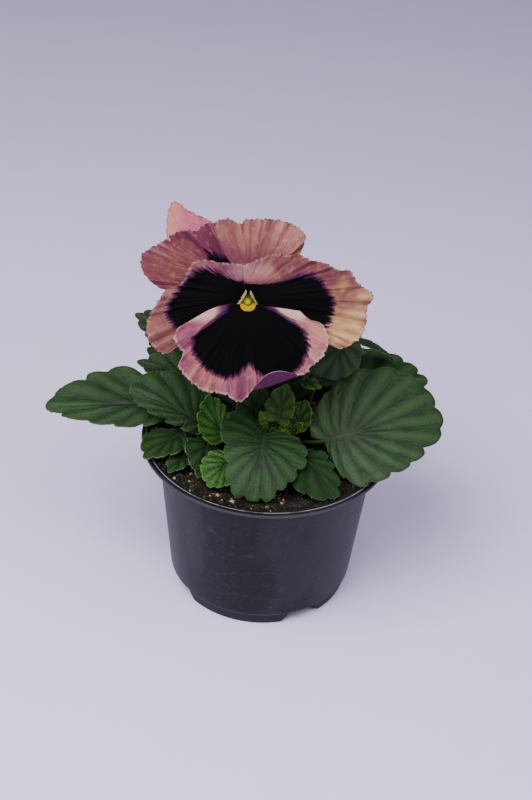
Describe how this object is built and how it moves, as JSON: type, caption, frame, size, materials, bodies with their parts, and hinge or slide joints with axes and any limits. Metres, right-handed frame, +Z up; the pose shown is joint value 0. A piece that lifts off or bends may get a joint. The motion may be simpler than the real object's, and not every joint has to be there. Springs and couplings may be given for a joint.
{
  "type": "potted pansy planter",
  "caption": "Flowering pansy in a small tapered plastic nursery pot: one ruffled two-tone bloom with a dark blotch over a mound of scalloped leaves, on dark soil.",
  "frame": {"origin": "centre of the pot's foot, on the surface it stands on", "axes": "+Z up along the pot's axis, -Y towards the side the bloom faces, +X to the right as seen from the front"},
  "size_m": [0.1636, 0.1211, 0.1696],
  "materials": {
    "pot_plastic": "satin charcoal",
    "soil": "damp peat",
    "leaf": "dark green, faint sheen",
    "young_leaf": "bright green, faint sheen",
    "stem": "light green",
    "petal": "dusty rose with a near-black blotch, velvety",
    "pistil": "green-yellow"
  },
  "bodies": {
    "root": {"pot": "pot_plastic", "soil": "soil", "crown": "stem", "flower_stalk": "stem", "pistil": "pistil", "petal_lower": "petal", "petal_side_left": "petal", "petal_side_right": "petal", "petal_top_left": "petal", "petal_top_right": "petal", "leaf_far_left": "leaf", "leaf_left": "leaf", "leaf_left_back": "leaf", "leaf_left_high": "leaf", "leaf_rim_left": "leaf", "leaf_rim_left_small": "leaf", "leaf_left_shaded": "leaf", "leaf_curled_front": "young_leaf", "leaf_bright_front": "young_leaf", "leaf_front": "leaf", "leaf_front_right": "young_leaf", "leaf_young_centre": "young_leaf", "leaf_dark_centre": "leaf", "leaf_behind_centre": "leaf", "leaf_young_right": "young_leaf", "leaf_small_right": "young_leaf", "leaf_big_right": "leaf", "leaf_right_back": "leaf", "leaf_right_arched": "leaf", "leaf_under_petal": "leaf", "leaf_back_left": "leaf", "leaf_back": "leaf", "leaf_back_right": "leaf", "leaf_back_high": "leaf", "leaf_back_low": "young_leaf", "leaf_back_low_left": "young_leaf"}
  },
  "joints": []
}
